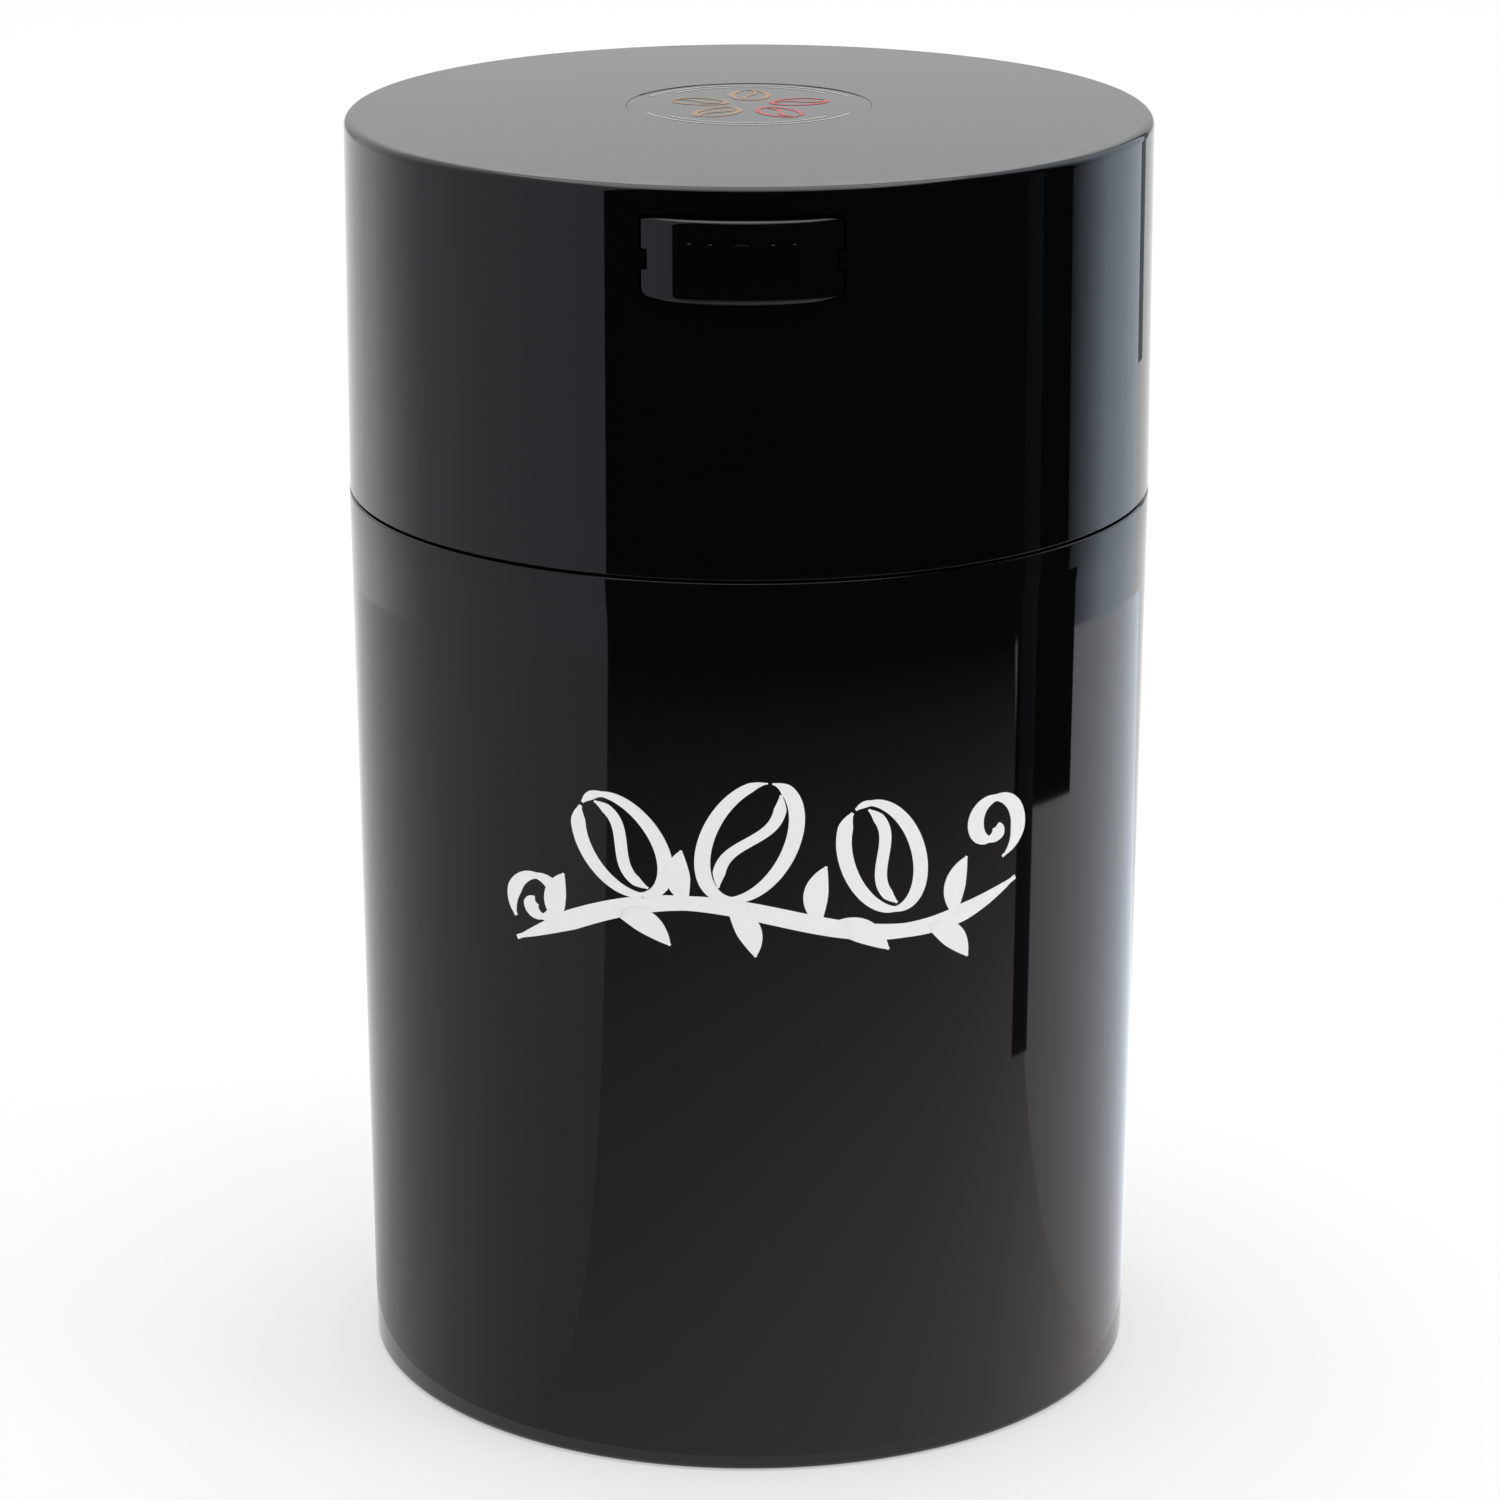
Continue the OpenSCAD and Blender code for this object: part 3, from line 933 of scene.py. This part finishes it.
@dataclass
class Ornament:
    """The white print on the body: a sprig of beans and leaves on a sweeping stem, 80 mm by 28 mm.

    Lengths are in millimetres and angles in degrees. A place on the stem is a share of its length.

    Attributes:
        real: The sizes that the pieces share.
        middle_turn: Where its middle stands, from the front towards +X.
        middle_z: Height of its middle.
        stem_left: Where the stem starts.
        stem_long: How far it reaches to the right.
        stem_low: Its height at the start, without its wave.
        stem_rise: How much higher its end is.
        stem_wave: Height of its wave.
        stem_shift: Where on the stem the wave starts.
        stem_width: Width of its stroke.
        stem_thin: Share of that width where it runs across.
        stem_points: How many points it has.
        scrolls: Middle, size, first angle, turn and width of each curl.
        beans: Place on the stem, height over it, half length and tilt of each bean.
        bean_wide: Width of a bean as a share of its length.
        bean_width: Width of a bean's strokes.
        leaves: Place on the stem, tilt and length of each leaf.
        leaf_width: Width of a leaf.
    """

    real: Canister
    middle_turn: float = 3.0
    middle_z: float = 91.0
    stem_left: float = -38
    stem_long: float = 78
    stem_low: float = -9.0
    stem_rise: float = 8
    stem_wave: float = 4.5
    stem_shift: float = 0.05
    stem_width: float = 4.4
    stem_thin: float = 0.5
    stem_points: int = 160
    scrolls: tuple[tuple[float, ...], ...] = (
        (-34.0, -4.2, 5.0, 215, -430, 2.6),
        (35.5, 6.5, 5.6, -70, 430, 2.8),
    )
    beans: tuple[tuple[float, float, float, float], ...] = (
        (0.22, 9.5, 8.4, 128), (0.46, 10.5, 9.4, 62), (0.71, 11.5, 8.6, 112),
    )
    bean_wide: float = 0.62
    bean_width: float = 2.3
    leaves: tuple[tuple[float, float, float], ...] = (
        (0.09, 82, 8.0), (0.345, 96, 8.0), (0.59, 84, 9.0), (0.86, 78, 9.0),
        (0.20, -28, 10.0), (0.42, -62, 8.5), (0.60, -24, 10.5), (0.80, -40, 9.0),
    )
    leaf_width: float = 3.6

    def wrap(self, flat: np.ndarray, height: float) -> np.ndarray:
        """Lays flat points round the body: the angle is the distance over the radius at that height.

        Args:
            flat: Points on the sheet.
            height: Height over the surface.

        Returns:
            Places, one row for each point.
        """
        z = self.middle_z + flat[:, 1]
        r = self.real.side_r(z)
        turn = np.radians(self.middle_turn) + flat[:, 0] / r
        return np.stack([(r + height) * np.sin(turn), -(r + height) * np.cos(turn), z], axis=1)

    def stem(self, t: np.ndarray) -> np.ndarray:
        """Finds places on the stem: a sine wave that rises to the right over its length.

        Args:
            t: Shares of its length.

        Returns:
            Points on the sheet.
        """
        wave = self.stem_wave * np.sin(2 * np.pi * (t - self.stem_shift))
        high = self.stem_low + wave + self.stem_rise * t
        return np.stack([self.stem_left + self.stem_long * t, high], axis=-1)

    def strokes(self) -> list[Stroke]:
        """Draws the design: the stem, a scroll at each end, beans over it and leaves on it.

        Returns:
            Its strokes.
        """
        line = self.stem(np.linspace(0, 1, self.stem_points))
        parts = [brush(line[:, 0], line[:, 1], self.stem_width, thin=self.stem_thin)]
        parts += [curl(*scroll) for scroll in self.scrolls]
        for at, lift, size, tilt in self.beans:
            x, y = self.stem(np.array(at))
            parts += bean(x, y + lift, size, size * self.bean_wide, tilt, self.bean_width)
        for at, tilt, length in self.leaves:
            x, y = self.stem(np.array(at))
            parts.append(leaf(x, y, length, tilt, self.leaf_width))
        return parts

    def dress(self) -> bpy.types.Object:
        """Builds the print and returns it."""
        return Print("body_print", "canister", Slot.BODY, WHITE_INK).lay(self.strokes(), self.wrap)


@dataclass
class Inlay:
    """The round inlay in the cap's top, crowned like the cap, and its small print, in millimetres.

    Attributes:
        real: The sizes that the pieces share.
        thick: Its thickness at the edge.
        gap: How far its face lies under the crown.
        bevel: Size of the bevel round its face.
        face_rings: Rings of points on its face.
        arcs: Radius, first angle and last angle of each part of the broken rings.
        arc_half: Half the width of a ring.
        arc_points: Points along each part.
        bean_count: How many beans there are.
        tan_count: How many of them are tan. The others are red.
        bean_r: Distance of their middles from the axis.
        bean_long: Half the length of a bean.
        bean_wide: Half its width.
        bean_width: Width of its strokes.
    """

    real: Canister
    thick: float = 0.3
    gap: float = 0.1
    bevel: float = 0.1
    face_rings: int = 14
    arcs: tuple[tuple[float, float, float], ...] = (
        (16.4, 25, 155), (16.4, 205, 335), (14.9, 40, 140), (14.9, 220, 320),
    )
    arc_half: float = 0.16
    arc_points: int = 80
    bean_count: int = 5
    tan_count: int = 3
    bean_r: float = 7.8
    bean_long: float = 4.2
    bean_wide: float = 2.7
    bean_width: float = 0.9

    def wrap(self, flat: np.ndarray, height: float) -> np.ndarray:
        """Lays flat points on the crowned face, at a height over it."""
        z = self.real.crown_z(np.hypot(flat[:, 0], flat[:, 1])) - self.gap + height
        return np.stack([flat[:, 0], flat[:, 1], z], axis=1)

    def profile(self) -> np.ndarray:
        """Draws the disc's outline: flat below, a small bevel, and the crown above.

        Returns:
            Points (r, z), from the middle of the underside to the middle of the face.
        """
        edge = self.real.label_r
        edge_z = self.real.crown_z(edge) - self.gap
        low = edge_z - self.thick
        r = np.linspace(edge - self.bevel, 0, self.face_rings)
        face = np.stack([r, self.real.crown_z(r) - self.gap], axis=1)
        return np.vstack([[[0, low], [edge, low], [edge, edge_z - self.bevel]], face])

    def rings(self) -> list[Stroke]:
        """Draws the two broken rings.

        Returns:
            A stroke for each part.
        """
        half = np.full(self.arc_points, self.arc_half)
        return [Stroke(arc(0, 0, r, start, end, self.arc_points), half) for r, start, end in self.arcs]

    def bean(self, number: int) -> list[Stroke]:
        """Draws one bean of the ring of beans, pointing outwards.

        Args:
            number: Which bean, counted from the one at the back.

        Returns:
            Its strokes.
        """
        tilt = 90 + 360 / self.bean_count * number
        turn = math.radians(tilt)
        x, y = self.bean_r * math.cos(turn), self.bean_r * math.sin(turn)
        return bean(x, y, self.bean_long, self.bean_wide, tilt, self.bean_width)

    def dress(self, finish: bpy.types.Material) -> None:
        """Builds the disc, the broken rings, and the beans.

        Args:
            finish: The disc's material.
        """
        made = piece("inlay_disc", *revolve(self.profile(), INLAY_SIDES), finish)
        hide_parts("top_label")
        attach(made, "lid")
        beans = [self.bean(number) for number in range(self.bean_count)]
        tan, red = sum(beans[:self.tan_count], []), sum(beans[self.tan_count:], [])
        Print("inlay_rings", "lid", Slot.INLAY, CREAM_INK).lay(self.rings(), self.wrap)
        Print("inlay_beans", "lid", Slot.INLAY, TAN_INK).lay(tan, self.wrap)
        Print("inlay_red_beans", "lid", Slot.INLAY, RED_INK).lay(red, self.wrap)


@dataclass(frozen=True)
class ReflectionCard:
    """A painted reflection that only glossy rays see: a glowing curved strip round the canister, no lamp.

    Attributes:
        name: The card's name.
        turns: Its two ends, in degrees from the front towards +X.
        colour: Linear colour of the painted reflection at its first end.
        end_colour: Linear colour at its other end.
        near: Distance of its lower or inner edge from the axis, in millimetres.
        far: Distance of its upper or outer edge.
        low: Height of its lower or inner edge.
        high: Height of its upper or outer edge.
        fade: How much of its light is gone at its far edge, as a share.
    """

    name: str
    turns: tuple[float, float]
    colour: Colour
    end_colour: Colour
    near: float = 455
    far: float = 455
    low: float = 0.3
    high: float = 900
    fade: float = 0.0

    def build(self) -> None:
        """Makes the strip on a grid of angle and height, with the painted reflection's colours in an
        attribute.
        """
        rows, columns = CARD_STEPS_ROUND + 1, CARD_STEPS_UP + 1
        across, up = np.meshgrid(np.linspace(0, 1, rows), np.linspace(0, 1, columns), indexing="ij")
        turn = np.radians(self.turns[0] + (self.turns[1] - self.turns[0]) * across)
        r = self.near + (self.far - self.near) * up
        z = self.low + (self.high - self.low) * up
        points = np.stack([r * np.sin(turn), -r * np.cos(turn), z], axis=2).reshape(-1, 3)
        # The painted reflection's colour: blended from end to end, and dimmer towards the far edge by the
        # fade.
        first, second = np.array(self.colour), np.array(self.end_colour)
        reflection_paint = first + (second - first) * across.reshape(-1, 1)
        reflection_paint = reflection_paint * (1 - self.fade * up.reshape(-1, 1))
        material, shader = empty_material(self.name)
        colour = shader.node("ShaderNodeAttribute", {"attribute_name": "reflection_paint"}, out="Color")
        glow = shader.node("ShaderNodeEmission", inputs={"Color": colour})
        shader.node("ShaderNodeOutputMaterial", inputs={"Surface": glow})
        made = piece(self.name, points, grid_faces(rows, columns).tolist(), material)
        layer = made.data.color_attributes.new("reflection_paint", "FLOAT_COLOR", "POINT")
        layer.data.foreach_set("color", np.hstack([reflection_paint, np.ones((len(reflection_paint), 1))]).ravel())
        # Only glossy rays see the strip: it paints a reflection and lights nothing.
        made.visible_camera = False
        made.visible_diffuse = False
        made.visible_shadow = False
        made.visible_transmission = False


@dataclass(frozen=True)
class TableReflectionCard(ReflectionCard):
    """A painted reflection of the table that only glossy rays see: a glowing ring sector just over the
    table, from the canister's foot outwards.
    """

    near: float = 62
    far: float = 455
    low: float = 0.6
    high: float = 0.6


BLACK = (0, 0, 0)
# Painted reflections in the gloss: glowing strips, and black sheets that paint dark reflections, seen only
# by glossy rays.
REFLECTION_CARDS = (
    ReflectionCard("front_flag_reflection", (-37, 98), BLACK, BLACK),
    ReflectionCard("side_flag_reflection", (73.5, 79), (0.03, 0.03, 0.04), (0.05, 0.06, 0.07), near=200, far=205, high=500),
    ReflectionCard("right_flag_reflection", (77, 100), BLACK, BLACK, near=335, far=335, high=60),
    ReflectionCard("left_front_reflection", (-37, -100), (0.50, 0.48, 0.56), (0.58, 0.56, 0.62)),
    ReflectionCard("left_back_reflection", (-100, -126), (0.58, 0.56, 0.62), (1.05, 1.05, 1.08)),
    ReflectionCard("right_front_reflection", (98, 116), (0.12, 0.13, 0.16), (1.0, 1.15, 1.35)),
    ReflectionCard("right_back_reflection", (116, 141), (1.0, 1.15, 1.35), (1.05, 1.15, 1.25)),
    ReflectionCard("right_strip_reflection", (141, 146), (0.24, 0.26, 0.28), (0.24, 0.26, 0.28), low=60),
    TableReflectionCard("table_front_reflection", (-37, 78), (0.50, 0.47, 0.46), (0.95, 0.9, 0.88), fade=1),
    TableReflectionCard("table_left_reflection", (-37, -102), (0.50, 0.47, 0.48), (0.62, 0.60, 0.61)),
    TableReflectionCard("table_back_reflection", (-102, -150), (0.62, 0.60, 0.61), (1.0, 1.0, 0.98)),
    TableReflectionCard("table_right_reflection", (78, 150), (0.95, 0.93, 0.95), (1.35, 1.45, 1.6)),
    ReflectionCard(
        "back_panel_reflection", (140, 220), (1.38, 1.40, 1.42), (1.42, 1.43, 1.44),
        near=900, far=900, low=750, high=150, fade=0.6,
    ),
)


@dataclass(frozen=True)
class Lamp:
    """A square soft lamp that the camera doesn't see.

    Attributes:
        name: The lamp's name.
        place: Where it hangs, in metres.
        size: Length of its side, in metres.
        power: Its power, in watts.
        aim: Where it points, in metres.
    """

    name: str
    place: tuple[float, float, float]
    size: float
    power: float
    aim: tuple[float, float, float] = (0, 0, 0.1)

    def build(self) -> None:
        """Hangs the lamp and turns it to its aim."""
        data = bpy.data.lights.new(self.name, "AREA")
        data.shape = "SQUARE"
        data.size = self.size
        data.energy = self.power
        x, y, z = np.array(self.aim) - np.array(self.place)
        made = add(self.name, data)
        made.location = self.place
        made.rotation_euler = (math.atan2(math.hypot(x, y), -z), 0, math.atan2(-x, y))
        made.visible_camera = False


LAMPS = (
    Lamp("overhead", (0.0, 0.3, 1.8), size=1.6, power=12.0),
    Lamp("right_lamp", (1.2, -0.5, 1.3), size=0.6, power=3.0),
)


def seen(shader: Shader) -> Sock:
    """Finds the rays that show the background: camera, glossy and transmission rays.

    Args:
        shader: The tree that the nodes go into.

    Returns:
        1 for such a ray and 0 for any other.
    """
    camera = shader.node("ShaderNodeLightPath", out="Is Camera Ray")
    return camera.at_least(camera.beside("Is Glossy Ray")).at_least(camera.beside("Is Transmission Ray"))


@dataclass
class Studio:
    """The pale table, the white room, the lamps, the cards that shape the gloss, and the camera.

    Lengths are in millimetres and angles in degrees.

    Attributes:
        room_light: Strength of the room's light on everything that isn't gloss.
        table_white: The table's colour.
        table_glow: Share of plain white in the table where the camera or gloss sees it.
        table_half: Half the table's side.
        table_z: Height of the table, just under the foot.
        lens: The camera's focal length.
        sensor: Width of its sensor.
        nearest: Nearest distance that it sees.
        distance: Its distance from the canister's axis.
        height: Its height over the table.
        turn: Its turn from the front towards +X.
        pitch: How far it looks down.
        frame_px: Width of the photograph, in pixels.
        axis_px: Where the canister's axis stands in the photograph, in pixels.
        lamps: The lamps.
        cards: The glowing cards that paint the reflections.
    """

    room_light: float = 0.85
    table_white: float = 0.93
    table_glow: float = 0.42
    table_half: float = 6000.0
    table_z: float = -0.05
    lens: float = 126.1
    sensor: float = 36.0
    nearest: float = 10
    distance: float = 772.13
    height: float = 332.11
    turn: float = 0.9
    pitch: float = 17.15
    frame_px: int = 1500
    axis_px: int = 749
    lamps: tuple[Lamp, ...] = LAMPS
    cards: tuple[ReflectionCard, ...] = REFLECTION_CARDS

    def light_room(self) -> None:
        """White for the camera and for gloss, and a plain level of light for everything else."""
        world = bpy.data.worlds.new("room")
        bpy.context.scene.world = world
        world.use_nodes = True
        shader = Shader(world.node_tree)
        strength = seen(shader) * (1 - self.room_light) + self.room_light
        inputs = {"Color": (1, 1, 1, 1), "Strength": strength}
        light = shader.node("ShaderNodeBackground", inputs=inputs)
        shader.node("ShaderNodeOutputWorld", inputs={"Surface": light})

    def lay_table(self) -> None:
        """A wide white table that keeps the canister's shadow."""
        material, shader = empty_material("table_white")
        white = (self.table_white, self.table_white, self.table_white, 1)
        matt = shader.node("ShaderNodeBsdfDiffuse", inputs={"Color": white})
        plain = shader.node("ShaderNodeEmission", inputs={"Color": (1, 1, 1, 1), "Strength": 1.0})
        glow = seen(shader) * self.table_glow
        inputs = {MIX_FACTOR: glow, MIX_FIRST_SHADER: matt, MIX_SECOND_SHADER: plain}
        mixed = shader.node("ShaderNodeMixShader", inputs=inputs)
        shader.node("ShaderNodeOutputMaterial", inputs={"Surface": mixed})
        signs = ((-1, -1), (1, -1), (1, 1), (-1, 1))
        corners = np.array([[x * self.table_half, y * self.table_half, self.table_z] for x, y in signs])
        piece("table", corners, [[0, 1, 2, 3]], material)

    def set_camera(self) -> None:
        """The camera at the photograph's angle, shifted so that the axis stands where it does there."""
        data = bpy.data.cameras.new("camera")
        data.lens = self.lens
        data.sensor_width = self.sensor
        data.shift_x = (self.frame_px / 2 - self.axis_px) / self.frame_px
        data.clip_start = self.nearest * MM
        turn = math.radians(self.turn)
        away = self.distance * MM
        made = add("camera", data)
        made.location = (away * math.sin(turn), -away * math.cos(turn), self.height * MM)
        made.rotation_euler = (math.radians(90 - self.pitch), 0, turn)
        bpy.context.scene.camera = made

    def build(self) -> None:
        """Sets up everything round the canister."""
        self.light_room()
        self.lay_table()
        for stand in (*self.lamps, *self.cards):
            stand.build()
        self.set_camera()
        bpy.context.scene.view_settings.view_transform = "Standard"


NODE_SLOTS = {
    "neck_collar": Slot.INNER,
    "inner_cap": Slot.INNER,
    "lid_gasket": Slot.SILICONE,
    "valve_stem": Slot.ACETAL,
    "valve_plug": Slot.VALVE,
}


def dress_nodes(finishes: dict[Slot, bpy.types.Material]) -> None:
    """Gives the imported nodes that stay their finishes.

    Args:
        finishes: The material of each slot.
    """
    for node, slot in NODE_SLOTS.items():
        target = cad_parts[node]
        if not target.material_slots:
            target.data.materials.append(None)
        for place in target.material_slots:
            place.material = finishes[slot]
        log.info("node %s wears %s", node, slot.value)


def main() -> None:
    """Builds the pieces in order."""
    logging.basicConfig(level=logging.INFO)
    real = Canister()
    finishes = {finish.slot: finish.build() for finish in FINISHES}
    dress_nodes(finishes)
    cup = Cup(real).dress(finishes[Slot.BODY])
    log.info("built %s", cup.name)
    cap = Cap(real).dress(finishes[Slot.CAP])
    log.info("built %s", cap.name)
    button = PushButton().dress(finishes[Slot.BUTTON])
    log.info("built %s", button.name)
    for coil in COILS:
        made = coil.dress(finishes[Slot.STEEL])
        log.info("built %s", made.name)
    Inlay(real).dress(finishes[Slot.INLAY])
    log.info("built the inlay and its print")
    ornament = Ornament(real).dress()
    log.info("built %s", ornament.name)
    Studio().build()
    log.info("set up the studio")


if __name__ == "__main__":
    main()
